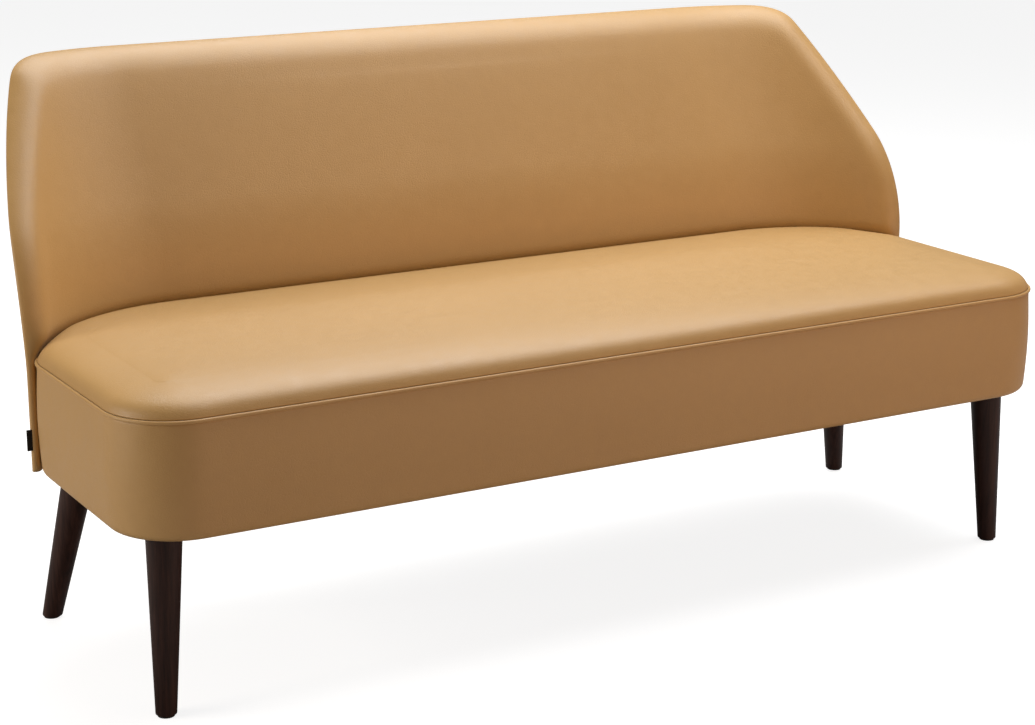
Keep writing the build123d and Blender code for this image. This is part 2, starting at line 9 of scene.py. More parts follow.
import bpy
import numpy as np
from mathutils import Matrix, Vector


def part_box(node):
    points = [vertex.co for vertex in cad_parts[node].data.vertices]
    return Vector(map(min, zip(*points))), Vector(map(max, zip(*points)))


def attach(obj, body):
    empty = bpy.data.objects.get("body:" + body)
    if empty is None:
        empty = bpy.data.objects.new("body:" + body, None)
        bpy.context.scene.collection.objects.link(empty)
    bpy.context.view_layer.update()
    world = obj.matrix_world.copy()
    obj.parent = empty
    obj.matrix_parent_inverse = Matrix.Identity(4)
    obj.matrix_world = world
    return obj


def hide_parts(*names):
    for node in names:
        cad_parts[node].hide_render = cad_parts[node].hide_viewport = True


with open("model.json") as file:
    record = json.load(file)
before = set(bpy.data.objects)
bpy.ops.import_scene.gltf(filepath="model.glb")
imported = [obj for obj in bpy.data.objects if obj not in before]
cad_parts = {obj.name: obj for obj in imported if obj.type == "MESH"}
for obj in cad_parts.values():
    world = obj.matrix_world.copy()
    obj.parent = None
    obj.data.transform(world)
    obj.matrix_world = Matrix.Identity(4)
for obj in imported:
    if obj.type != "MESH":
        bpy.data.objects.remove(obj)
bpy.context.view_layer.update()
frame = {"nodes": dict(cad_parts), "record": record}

# ------------------------------------------------------------------ places read from the frame
border_low, border_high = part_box("seat_border_cover")
crown_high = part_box("seat_top_cover")[1]
piping_low, piping_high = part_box("piping_cover")
rim_low, rim_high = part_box("back_rim_strip")
tab_low, tab_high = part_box("seam_tab")

SEAT_HALF = border_high.x
SEAT_FRONT = border_low.y
SEAT_BOTTOM = border_low.z
PIPING_Z = (piping_low.z + piping_high.z) / 2
PIPING_R = (piping_high.z - piping_low.z) / 2
CROWN = crown_high.z - PIPING_Z
BACK_TOP = rim_high.z
BACK_FRONT = rim_low.y

# ------------------------------------------------------------------ shape sizes
FRONT_CORNER_R = 0.103  # seat's plan, front corners
SIDE_BLEND_R = 0.100  # seat's plan, where the straight side turns into the rear curve
CURVE_SETBACK = 0.268  # middle of each end curve, in from the seat's side
CURVE_DEPTH = 0.242  # and behind the seat front
OUTER_R = 0.322  # outer face of the back, round each end curve
REAR_R = border_high.y - SEAT_FRONT - CURVE_DEPTH
LEAN = math.radians(27.2)  # of the back, above its bend
BEND_Z = 0.521
BEND_R = 0.460
KNEE_Z = 0.557  # where the wing's upright edge turns into its slope
KNEE_R = 0.280
SLOPE = math.radians(42.0)  # of the wing's upper edge, from upright
TOP_CORNER_R = 0.080
APRON_EDGE_R = 0.012
FLANGE = 0.025  # apron leather turned under the seat
LEATHER = 0.0012  # thickness

CURVE_X = SEAT_HALF - CURVE_SETBACK
CURVE_Y = SEAT_FRONT + CURVE_DEPTH


# ================================================================== small tools
def smooth(x, low, high):
    """0 below low, 1 above high, with an even ease between."""
    t = np.clip((x - low) / (high - low), 0, 1)
    return t * t * (3 - 2 * t)


def resample(points, count, closed=False):
    """Points spread evenly along a polyline."""
    pts = np.asarray(points, float)
    if closed:
        pts = np.vstack([pts, pts[:1]])
    step = np.linalg.norm(np.diff(pts, axis=0), axis=1)
    along = np.concatenate([[0], np.cumsum(step)])
    want = np.linspace(0, along[-1], count + 1 if closed else count)
    out = np.stack([np.interp(want, along, pts[:, k]) for k in range(pts.shape[1])], axis=1)
    return out[:-1] if closed else out


def arc(centre, radius, start, end, count=24):
    """Points of a circular arc, angles in degrees."""
    a = np.radians(np.linspace(start, end, count))
    return np.stack([centre[0] + radius * np.cos(a), centre[1] + radius * np.sin(a)], axis=1)


def mesh_object(name, verts, faces, material):
    """Mesh object with smooth faces and one material."""
    mesh = bpy.data.meshes.new(name)
    mesh.from_pydata([tuple(v) for v in verts], [], [tuple(int(i) for i in f) for f in faces])
    mesh.validate()
    mesh.update()
    piece = bpy.data.objects.new(name, mesh)
    bpy.context.collection.objects.link(piece)
    mesh.polygons.foreach_set("use_smooth", [True] * len(mesh.polygons))
    mesh.materials.append(material)
    return piece


def grid_faces(rows, columns, wrap=False):
    """Quads of a grid of vertices stored row by row."""
    faces = []
    for r in range(rows - 1):
        for c in range(columns if wrap else columns - 1):
            d = (c + 1) % columns
            a = r * columns
            b = a + columns
            faces.append((a + c, a + d, b + d, b + c))
    return faces


def id_faces(ids):
    """Quads of a grid of point numbers."""
    rows, columns = ids.shape
    cells = [(r, c) for r in range(rows - 1) for c in range(columns - 1)]
    return [(ids[r, c], ids[r, c + 1], ids[r + 1, c + 1], ids[r + 1, c]) for r, c in cells]


def coons(bottom, right, top, left):
    """Grid of points between four edges: bottom and top run left to right, the sides upwards."""
    u = (bottom[:, 0] - bottom[0, 0]) / (bottom[-1, 0] - bottom[0, 0])
    v = np.minimum((left[:, 1] - left[0, 1]) / (left[-1, 1] - left[0, 1]), 1)
    u = u[None, :, None]
    v = v[:, None, None]
    ruled = (1 - v) * bottom[None] + v * top[None] + (1 - u) * left[:, None] + u * right[:, None]
    corners = (1 - u) * (1 - v) * bottom[0] + u * (1 - v) * bottom[-1]
    corners = corners + (1 - u) * v * top[0] + u * v * top[-1]
    return ruled - corners


def apply_modifiers(piece):
    """Bake the modifiers into a plain mesh."""
    graph = bpy.context.evaluated_depsgraph_get()
    baked = bpy.data.meshes.new_from_object(piece.evaluated_get(graph))
    piece.modifiers.clear()
    piece.data = baked
    return piece


def even_out(mesh, field, held, passes):
    """Average a vector per vertex with its neighbours, so that the cover settles without creases."""
    pairs = np.array([e.vertices for e in mesh.edges])
    ends = np.concatenate([pairs, pairs[:, ::-1]])
    count = np.bincount(ends[:, 0], minlength=len(field))[:, None]
    field = np.where(held[:, None], 0.0, field)
    for _ in range(passes):
        sums = [np.bincount(ends[:, 0], field[ends[:, 1], k], minlength=len(field)) for k in range(3)]
        total = np.stack(sums, axis=1)
        field = np.where(held[:, None], 0.0, 0.5 * field + 0.5 * total / count)
    return field


COVER_FRAMES = 20
COVER_EASING = 500  # averaging passes over the cover's movement


def inflate(piece, pinned, pressure, cap):
    """Blow a cover up gently as cloth, its rim held, and keep each point within cap of its start."""
    rest = np.array([v.co for v in piece.data.vertices])
    group = piece.vertex_groups.new(name="rim")
    group.add([int(i) for i in np.flatnonzero(pinned)], 1.0, "REPLACE")
    cloth = piece.modifiers.new("cover", "CLOTH")
    cloth.settings.use_pressure = True
    cloth.settings.uniform_pressure_force = pressure
    cloth.settings.vertex_group_mass = "rim"
    cloth.settings.effector_weights.gravity = 0
    cloth.settings.tension_stiffness = 40
    cloth.settings.compression_stiffness = 40
    cloth.settings.bending_stiffness = 8
    cloth.settings.quality = 6
    scene = bpy.context.scene
    scene.frame_start = 1
    scene.frame_end = COVER_FRAMES
    for number in range(1, COVER_FRAMES + 1):
        scene.frame_set(number)
    apply_modifiers(piece)
    scene.frame_set(1)
    moved = np.array([v.co for v in piece.data.vertices])
    shift = even_out(piece.data, moved - rest, pinned, COVER_EASING)
    far = np.linalg.norm(shift, axis=1, keepdims=True)
    scale = np.tanh(far / cap) * cap / np.maximum(far, 1e-9)
    settled = rest + shift * scale
    piece.data.vertices.foreach_set("co", settled.ravel())
    piece.vertex_groups.clear()
    piece.data.update()


def thicken(piece, thickness, levels=1):
    """Round the mesh off with a subdivision and give the leather its thickness, inwards."""
    subdivision = piece.modifiers.new("smooth", "SUBSURF")
    subdivision.levels = levels
    subdivision.render_levels = levels
    solid = piece.modifiers.new("leather", "SOLIDIFY")
    solid.thickness = thickness
    solid.offset = -1
    return apply_modifiers(piece)


# ================================================================== node helpers
def new_material(name):
    """Empty node material with its principled shader."""
    material = bpy.data.materials.new(name)
    material.use_nodes = True
    tree = material.node_tree
    shader = tree.nodes["Principled BSDF"]
    return material, tree, shader


def node(tree, kind, **values):
    """Shader node; inputs by name, and settings by attribute."""
    made = tree.nodes.new(kind)
    for key, value in values.items():
        if hasattr(made, key):
            setattr(made, key, value)
        else:
            made.inputs[key.replace("_", " ")].default_value = value
    return made


def ramp(tree, source, stops):
    """Colour ramp fed by a socket; stops are (place, colour)."""
    made = tree.nodes.new("ShaderNodeValToRGB")
    elements = made.color_ramp.elements
    while len(elements) < len(stops):
        elements.new(0.5)
    for element, (place, colour) in zip(elements, stops):
        element.position = place
        element.color = (*colour, 1) if len(colour) == 3 else colour
    tree.links.new(source, made.inputs["Fac"])
    return made.outputs["Color"]


def coordinates(tree, scale=(1, 1, 1)):
    """Object coordinates, stretched along the axes."""
    where = tree.nodes.new("ShaderNodeTexCoord")
    mapping = tree.nodes.new("ShaderNodeMapping")
    mapping.inputs["Scale"].default_value = scale
    tree.links.new(where.outputs["Object"], mapping.inputs["Vector"])
    return mapping.outputs["Vector"]


def noise(tree, vector, scale, detail=3, roughness=0.5):
    """Noise value socket."""
    made = node(tree, "ShaderNodeTexNoise", Scale=scale, Detail=detail, Roughness=roughness)
    tree.links.new(vector, made.inputs["Vector"])
    return made.outputs["Fac"]


def maths(tree, operation, a, b):
    """Math node; a and b are sockets or numbers."""
    made = tree.nodes.new("ShaderNodeMath")
    made.operation = operation
    for socket, value in zip(made.inputs, (a, b)):
        if isinstance(value, (int, float)):
            socket.default_value = value
        else:
            tree.links.new(value, socket)
    return made.outputs[0]


def bump(tree, shader, height, strength, distance):
    """Bump from a height socket into a shader's normal."""
    made = node(tree, "ShaderNodeBump", Strength=strength, Distance=distance)
    tree.links.new(height, made.inputs["Height"])
    tree.links.new(made.outputs["Normal"], shader.inputs["Normal"])


# ================================================================== materials
LEATHER_DEEP = (0.482, 0.280, 0.092)
LEATHER_PALE = (0.512, 0.300, 0.101)


def leather_material(name, tint=1.0):
    """Caramel aniline leather: fine pebble, faint cloudiness, satin finish."""
    material, tree, shader = new_material(name)
    where = coordinates(tree)
    cloud = noise(tree, where, 3.2, detail=4, roughness=0.6)
    mottle = noise(tree, where, 46.0, detail=5, roughness=0.62)
    cloud = maths(tree, "MULTIPLY", cloud, 0.55)
    mixed = maths(tree, "ADD", cloud, maths(tree, "MULTIPLY", mottle, 0.45))
    deep = tuple(c * tint for c in LEATHER_DEEP)
    pale = tuple(c * tint for c in LEATHER_PALE)
    tree.links.new(ramp(tree, mixed, [(0.36, deep), (0.64, pale)]), shader.inputs["Base Color"])
    pebble = node(tree, "ShaderNodeTexVoronoi", feature="SMOOTH_F1", Scale=620.0, Smoothness=0.55)
    tree.links.new(where, pebble.inputs["Vector"])
    crease = node(tree, "ShaderNodeTexVoronoi", feature="DISTANCE_TO_EDGE", Scale=210.0)
    warp = node(tree, "ShaderNodeTexNoise", Scale=90.0, Detail=2.0)
    tree.links.new(where, warp.inputs["Vector"])
    shifted = node(tree, "ShaderNodeVectorMath", operation="MULTIPLY_ADD")
    tree.links.new(warp.outputs["Color"], shifted.inputs[0])
    shifted.inputs[1].default_value = (0.008, 0.008, 0.008)
    tree.links.new(where, shifted.inputs[2])
    tree.links.new(shifted.outputs[0], crease.inputs["Vector"])
    folds = ramp(tree, crease.outputs["Distance"], [(0.0, (0, 0, 0)), (0.09, (1, 1, 1))])
    height = maths(tree, "ADD", maths(tree, "MULTIPLY", pebble.outputs["Distance"], -0.8), folds)
    height = maths(tree, "ADD", height, maths(tree, "MULTIPLY", mottle, 0.6))
    bump(tree, shader, height, 0.22, 0.0006)
    rough = ramp(tree, mottle, [(0.3, (0.43, 0.43, 0.43)), (0.7, (0.52, 0.52, 0.52))])
    tree.links.new(rough, shader.inputs["Roughness"])
    shader.inputs["Specular IOR Level"].default_value = 0.62
    shader.inputs["Sheen Weight"].default_value = 0.05
    shader.inputs["Sheen Roughness"].default_value = 0.45
    return material


def wood_material(name):
    """Dark stained beech with open grain along the leg, under satin lacquer."""
    material, tree, shader = new_material(name)
    where = coordinates(tree, scale=(1, 1, 0.06))
    grain = noise(tree, where, 260.0, detail=6, roughness=0.65)
    bands = noise(tree, where, 60.0, detail=3, roughness=0.5)
    mixed = maths(tree, "ADD", maths(tree, "MULTIPLY", grain, 0.6), maths(tree, "MULTIPLY", bands, 0.4))
    stain = [(0.34, (0.012, 0.0050, 0.0035)), (0.52, (0.032, 0.0125, 0.0085))]
    stain.append((0.70, (0.060, 0.0260, 0.0170)))
    tree.links.new(ramp(tree, mixed, stain), shader.inputs["Base Color"])
    bump(tree, shader, grain, 0.18, 0.0004)
    rough = ramp(tree, grain, [(0.3, (0.34, 0.34, 0.34)), (0.7, (0.46, 0.46, 0.46))])
    tree.links.new(rough, shader.inputs["Roughness"])
    shader.inputs["Specular IOR Level"].default_value = 0.22
    shader.inputs["Coat Weight"].default_value = 0.04
    shader.inputs["Coat Roughness"].default_value = 0.30
    return material


def plain_wood(name, dark, pale, stretch):
    """Raw timber or sheet of the hidden frame."""
    material, tree, shader = new_material(name)
    where = coordinates(tree, scale=stretch)
    grain = noise(tree, where, 120.0, detail=5, roughness=0.6)
    tree.links.new(ramp(tree, grain, [(0.35, dark), (0.65, pale)]), shader.inputs["Base Color"])
    bump(tree, shader, grain, 0.2, 0.0004)
    shader.inputs["Roughness"].default_value = 0.7
    return material


def woven_material(name, dark, pale, scale, roughness=0.9):
    """Felted or foamed stuff: fibres or cells of one size."""
    material, tree, shader = new_material(name)
    where = coordinates(tree)
    cells = node(tree, "ShaderNodeTexVoronoi", Scale=scale)
    tree.links.new(where, cells.inputs["Vector"])
    fibres = noise(tree, where, scale * 0.6, detail=4, roughness=0.7)
    tree.links.new(ramp(tree, fibres, [(0.35, dark), (0.65, pale)]), shader.inputs["Base Color"])
    bump(tree, shader, maths(tree, "ADD", cells.outputs["Distance"], fibres), 0.4, 0.0006)
    shader.inputs["Roughness"].default_value = roughness
    shader.inputs["Specular IOR Level"].default_value = 0.2
    return material


def metal_material(name):
    """Zinc plated steel with a faint drawn streak."""
    material, tree, shader = new_material(name)
    where = coordinates(tree)
    streak = noise(tree, where, 300.0, detail=3)
    pale = [(0.3, (0.50, 0.50, 0.49)), (0.7, (0.66, 0.66, 0.65))]
    tree.links.new(ramp(tree, streak, pale), shader.inputs["Base Color"])
    rough = ramp(tree, streak, [(0.3, (0.28, 0.28, 0.28)), (0.7, (0.42, 0.42, 0.42))])
    tree.links.new(rough, shader.inputs["Roughness"])
    shader.inputs["Metallic"].default_value = 1.0
    return material


def plastic_material(name):
    """Black moulded plastic."""
    material, tree, shader = new_material(name)
    spark = noise(tree, coordinates(tree), 900.0, detail=2)
    black = [(0.3, (0.012, 0.012, 0.012)), (0.7, (0.022, 0.022, 0.022))]
    tree.links.new(ramp(tree, spark, black), shader.inputs["Base Color"])
    bump(tree, shader, spark, 0.1, 0.0002)
    shader.inputs["Roughness"].default_value = 0.55
    return material


leather = leather_material("caramel_leather")
piping_leather = leather_material("caramel_leather_welt", tint=1.04)
beech = plain_wood("beech", (0.42, 0.27, 0.15), (0.55, 0.38, 0.22), (0.1, 1, 1))
plywood = plain_wood("birch_plywood", (0.50, 0.36, 0.20), (0.62, 0.47, 0.29), (0.15, 0.15, 1))
fibreboard = plain_wood("fibreboard", (0.22, 0.14, 0.08), (0.28, 0.19, 0.11), (1, 1, 1))
foam = woven_material("foam", (0.62, 0.56, 0.36), (0.74, 0.68, 0.46), 700.0)
wadding = woven_material("wadding", (0.74, 0.73, 0.70), (0.86, 0.85, 0.82), 300.0)
felt = woven_material("grey_felt", (0.12, 0.12, 0.12), (0.24, 0.24, 0.23), 420.0)
dust_cloth = woven_material("black_underlining", (0.010, 0.010, 0.010), (0.026, 0.026, 0.026), 900.0)
tab_tape = woven_material("black_tape", (0.008, 0.008, 0.009), (0.018, 0.018, 0.019), 1400.0, 0.75)
steel = metal_material("zinc_plated_steel")
glide_plastic = plastic_material("black_plastic")


# ================================================================== seat outline
def rear_angle():
    """Angle where the straight side's rounding meets the rear curve, and its centre."""
    blend_x = SEAT_HALF - SIDE_BLEND_R
    reach = REAR_R - SIDE_BLEND_R
    blend_y = CURVE_Y + math.sqrt(reach**2 - (blend_x - CURVE_X) ** 2)
    return math.degrees(math.atan2(blend_y - CURVE_Y, blend_x - CURVE_X)), (blend_x, blend_y)


BLEND_ANGLE, BLEND_CENTRE = rear_angle()


def seat_outline(inset, count):
    """Plan of the seat, inset inwards, as count points anticlockwise from the middle of the front.
    Every inset uses the same places along the outline, so rings of points line up."""
    half = SEAT_HALF
    corner = (half - FRONT_CORNER_R, SEAT_FRONT + FRONT_CORNER_R)

    def run(d):
        parts = [
            np.array([[0, SEAT_FRONT + d], [corner[0], SEAT_FRONT + d]]),
            arc(corner, FRONT_CORNER_R - d, -90, 0),
            np.array([[half - d, corner[1]], [half - d, BLEND_CENTRE[1]]]),
            arc(BLEND_CENTRE, SIDE_BLEND_R - d, 0, BLEND_ANGLE),
            arc((CURVE_X, CURVE_Y), REAR_R - d, BLEND_ANGLE, 90, 60),
            np.array([[CURVE_X, CURVE_Y + REAR_R - d], [0, CURVE_Y + REAR_R - d]]),
        ]
        return [resample(p, 200) for p in parts]

    outer = np.vstack(run(0))
    inner = np.vstack(run(inset))
    step = np.linalg.norm(np.diff(outer, axis=0), axis=1)
    along = np.concatenate([[0], np.cumsum(step)])
    want = np.linspace(0, along[-1], count // 2 + 1)
    right = np.stack([np.interp(want, along, inner[:, k]) for k in (0, 1)], axis=1)
    left = right[::-1][1:-1] * np.array([-1, 1])
    return np.vstack([right, left])


OUTLINE_COUNT = 440


def seat_profile_strip(name, profile, material, close_ring=False):
    """Band round the seat swept through (inset, height) points."""
    rings = []
    for inset, height in profile:
        ring = seat_outline(inset, OUTLINE_COUNT)
        rings.append(np.column_stack([ring, np.full(len(ring), height)]))
    verts = np.vstack(rings)
    faces = grid_faces(len(rings), len(rings[0]), wrap=True)
    if close_ring:
        last = (len(rings) - 1) * len(rings[0])
        width = len(rings[0])
        faces += [(last + c, last + (c + 1) % width, (c + 1) % width, c) for c in range(width)]
    return mesh_object(name, verts, faces, material)


# ================================================================== seat pad
CROWN_SHARE = 0.48  # of the crown's rise, taken up quickly beside the welt
CROWN_EASE_EDGE = 0.0062
CROWN_EASE_MIDDLE = 0.042
CROWN_EASE_REAR = 0.006
DOME = 0.008  # fuller still, away from every edge and from the back
DOME_EASE = 0.060
PAD_INSETS = (0.0012, 0.0024, 0.004, 0.006, 0.0085, 0.012, 0.016)
PAD_INSETS += (0.021, 0.027, 0.034, 0.042, 0.051, 0.061, 0.072)
PAD_PRESSURE = 2.5
PAD_PUFF = 0.004  # most that the cloth may move the pad
CORNER_SHARE = 0.42  # of the half outline, where the middle grid's corners sit


def crown_height(inset, y):
    """Height of the seat top above the piping: quick rise at the welt, flat in the middle; the rear
    edge stays full because the back presses on it."""
    rear = smooth(y, CURVE_Y + 0.12, CURVE_Y + 0.24)
    quick = 1 - np.exp(-inset / (CROWN_EASE_EDGE * (1 - rear) + CROWN_EASE_REAR * rear))
    slow = 1 - np.exp(-inset / (CROWN_EASE_MIDDLE * (1 - rear) + CROWN_EASE_REAR * rear))
    dome = DOME * (1 - rear) * (1 - np.exp(-inset / DOME_EASE))
    return CROWN * (CROWN_SHARE * quick + (1 - CROWN_SHARE) * slow) + dome


def seat_pad():
    """Crowned seat cover over its foam, held down at the welt."""
    rings = []
    for inset in PAD_INSETS:
        ring = seat_outline(inset, OUTLINE_COUNT)
        height = PIPING_Z + crown_height(inset, ring[:, 1])
        rings.append(np.column_stack([ring, height]))
    width = OUTLINE_COUNT
    inner = rings[-1][:, :2]
    half = width // 2
    # equal numbers of points along the front and the rear of the middle grid
    corner = round(half * CORNER_SHARE)
    bottom_ids = [k % width for k in range(-corner, corner + 1)]
    right_ids = list(range(corner, half - corner + 1))
    top_ids = [k % width for k in range(half + corner, half - corner - 1, -1)]
    left_ids = list(range(width - corner, half + corner - 1, -1))
    grid = coons(inner[bottom_ids], inner[right_ids], inner[top_ids], inner[left_ids])
    rows, columns = grid.shape[:2]
    ids = np.full((rows, columns), -1)
    base = (len(rings) - 1) * width
    ids[0] = np.array(bottom_ids) + base
    ids[-1] = np.array(top_ids) + base
    ids[:, -1] = np.array(right_ids) + base
    ids[:, 0] = np.array(left_ids) + base
    verts = list(np.vstack(rings))
    for r in range(1, rows - 1):
        for c in range(1, columns - 1):
            x, y = grid[r, c]
            inset = inset_of(x, y)
            ids[r, c] = len(verts)
            verts.append(np.array([x, y, PIPING_Z + crown_height(inset, y)]))
    faces = grid_faces(len(rings), width, wrap=True) + id_faces(ids)
    pad = mesh_object("seat_pad", verts, faces, leather)
    pinned = np.zeros(len(verts), bool)
    pinned[: 2 * width] = True
    inflate(pad, pinned, PAD_PRESSURE, PAD_PUFF)
    return thicken(pad, LEATHER)


def inset_of(x, y):
    """Distance of a plan point inside the seat's outline, away from its corners."""
    side = SEAT_HALF - abs(x)
    front = y - SEAT_FRONT
    past = max(0.0, abs(x) - CURVE_X)
    rear = REAR_R - math.hypot(past, max(0.0, y - CURVE_Y)) if y > CURVE_Y else 1.0
    return max(0.0, min(side, front, rear))


# ================================================================== apron and piping
APRON_SWELL = 0.0030


def apron():
    """Border leather: tucked under the welt, down the side, round the bottom edge, turned under."""
    tuck = PIPING_R * 0.55
    top = PIPING_Z - PIPING_R * 0.45
    profile = [(0.0026, top + 0.0012), (tuck, top), (0.0006, top - 0.0016), (0.0, top - 0.0040)]
    straight_low = SEAT_BOTTOM + APRON_EDGE_R
    straight_high = top - 0.010
    for share in np.linspace(0, 1, 12):
        height = straight_high + (straight_low - straight_high) * share
        swell = -APRON_SWELL * math.sin(math.pi * share)
        profile.append((swell, height))
    for angle in np.linspace(15, 90, 6):
        a = math.radians(angle)
        drop = APRON_EDGE_R * (1 - math.sin(a))
        profile.append((APRON_EDGE_R * (1 - math.cos(a)), SEAT_BOTTOM + drop))
    profile += [(0.018, SEAT_BOTTOM), (FLANGE, SEAT_BOTTOM)]
    band = seat_profile_strip("seat_apron", profile[::-1], leather)
    return thicken(band, LEATHER)


def piping():
    """Leather-covered cord round the seat's edge."""
    bead = []
    for angle in np.linspace(0, 360, 13)[:-1]:
        a = math.radians(angle)
        bead.append((-PIPING_R * math.cos(a) * 0.96, PIPING_Z + PIPING_R * math.sin(a)))
    return seat_profile_strip("seat_piping", bead, piping_leather, close_ring=True)


# ================================================================== back
def lean_shift(z):
    """How far the back has moved rearwards at a height: upright, bend, then straight lean."""
    z = np.asarray(z, float)
    tangent = BEND_R * math.tan(LEAN / 2)
    bend_low = BEND_Z - tangent
    bend_high = BEND_Z + tangent * math.cos(LEAN)
    inside = np.clip(z - bend_low, 0, BEND_R * math.sin(LEAN))
    bend = BEND_R - np.sqrt(BEND_R**2 - inside**2)
    return np.where(z <= bend_low, 0.0, np.where(z >= bend_high, (z - BEND_Z) * math.tan(LEAN), bend))


def back_point(along, z, depth):
    """Point of the back: distance along the outer plan curve from the middle, height, and depth in
    from the outer face."""
    along = np.asarray(along, float)
    side = np.sign(along) + (along == 0)
    far = np.abs(along)
    radius = OUTER_R - depth
    angle = math.pi / 2 - np.maximum(far - CURVE_X, 0) / OUTER_R
    x = np.minimum(far, CURVE_X) + np.where(far > CURVE_X, radius * np.cos(angle), 0)
    y = CURVE_Y + lean_shift(z) + radius * np.where(far > CURVE_X, np.sin(angle), 1)
    return np.stack([side * x, y, np.broadcast_to(z, x.shape)], axis=-1)


def side_outline():
    """Right rim of the back as (along, height), from the wing's bottom to the start of the level top."""
    rim_y = BACK_FRONT
    rise = BACK_TOP - KNEE_Z
    slope_y = rim_y + rise * math.tan(SLOPE)
    knee_cut = KNEE_R * math.tan(SLOPE / 2)
    turn = math.pi / 2 - SLOPE
    top_cut = TOP_CORNER_R * math.tan(turn / 2)
    knee_centre = (rim_y + KNEE_R, KNEE_Z - knee_cut)
    top_start = math.pi - SLOPE
    top_centre = (slope_y + top_cut, BACK_TOP - TOP_CORNER_R)
    knee = arc(knee_centre, KNEE_R, 180, 180 - math.degrees(SLOPE), 40)
    corner = arc(top_centre, TOP_CORNER_R, math.degrees(top_start), 90, 24)
    pts = np.vstack([[[rim_y, SEAT_BOTTOM]], knee, corner])
    pts = resample(pts, 900)
    reach = np.clip((pts[:, 0] - CURVE_Y - lean_shift(pts[:, 1])) / OUTER_R, -1, 1)
    along = CURVE_X + OUTER_R * (math.pi / 2 - np.arcsin(reach))
    return np.column_stack([along, pts[:, 1]])


SIDE_COUNT = 84
TOP_COUNT = 170
ROLL_R_LOW = 0.0120
ROLL_R_HIGH = 0.050
THICK_LOW = 0.0124
THICK_SEAT = 0.033
THICK_TOP = 0.041
RING_REACH = 0.060
EASE_STEP = 0.0010  # inset for each easing pass
ROLL_SOFTNESS = 0.667  # below 1 the rounding fades gently into the face


def back_rim():
    """Rim of the whole back as (along, height) from the left wing's bottom over the top to the right's,
    with the unit direction that points into the panel."""
    right = side_outline()
    last = right[-1]
    top = np.column_stack([np.linspace(last[0], 0, 400), np.full(400, BACK_TOP)])
    half = np.vstack([right, top[1:]])
    corner = int(np.argmin(np.abs(half[:, 1] - (BACK_TOP - 0.014)) + (half[:, 0] < last[0] - 0.05)))
    side = resample(half[: corner + 1], SIDE_COUNT)
    crown = resample(half[corner:], TOP_COUNT // 2 + 1)
    half = np.vstack([side, crown[1:]])
    left = half * np.array([-1, 1])
    rim = np.vstack([left, half[::-1][1:]])
    step = np.gradient(rim, axis=0)
    step /= np.linalg.norm(step, axis=1, keepdims=True)
    inward = np.column_stack([step[:, 1], -step[:, 0]])
    inward[0] = (1, 0)
    inward[-1] = (-1, 0)
    return rim, inward


def relaxed(line, inset):
    """Ease an inset line of the rim, so that it doesn't fold at the corners; its ends stay level."""
    line = line.copy()
    line[:, 1] = np.maximum(line[:, 1], SEAT_BOTTOM)
    for _ in range(int(inset / EASE_STEP)):
        line[1:-1] += 0.25 * (line[:-2] + line[2:] - 2 * line[1:-1])
    return line


# heights between which the rounding and the pad grow
ROLL_GROWS = (0.425, 0.520)
PAD_GROWS = (0.432, 0.482)
TOP_GROWS = (0.50, 0.85)


def roll_sizes(z):
    """Radius of the rim's front rounding and the pad's thickness at a height."""
    radius = ROLL_R_LOW + (ROLL_R_HIGH - ROLL_R_LOW) * smooth(z, *ROLL_GROWS)
    thick = THICK_SEAT + (THICK_TOP - THICK_SEAT) * smooth(z, *TOP_GROWS)
    return radius, THICK_LOW + (thick - THICK_LOW) * smooth(z, *PAD_GROWS)


def back_middle(verts, rings, depth_of):
    """Fill the face inside the last ring, down to the seat's bottom: adds its points to verts and gives
    the grid of point numbers, row by row upwards."""
    width = len(rings[-1])
    inner = rings[-1]
    left = inner[:SIDE_COUNT]
    top = inner[SIDE_COUNT - 1 : width - SIDE_COUNT + 1]
    right = inner[width - SIDE_COUNT :][::-1]
    spread = top[:, 0] * inner[-1, 0] / top[-1, 0]
    bottom = np.column_stack([spread, np.full(len(top), SEAT_BOTTOM)])
    grid = coons(bottom, right, top, left)
    rows, columns = grid.shape[:2]
    base = (len(rings) - 1) * width
    ids = np.full((rows, columns), -1)
    ids[:, 0] = base + np.arange(SIDE_COUNT)
    ids[-1] = base + np.arange(SIDE_COUNT - 1, width - SIDE_COUNT + 1)
    ids[:, -1] = base + np.arange(width - 1, width - SIDE_COUNT - 1, -1)
    for r in range(rows - 1):
        for c in range(1, columns - 1):
            along, z = grid[r, c]
            ids[r, c] = len(verts)
            verts.append(back_point(along, z, depth_of(z)))
    return ids


EDGE_R = 0.0045
SEAM_INSET = 0.0075
HELD_RINGS = 8  # of the rim, kept still while the pad is blown up
BACK_PRESSURE = 2.0
BACK_PUFF = 0.0015


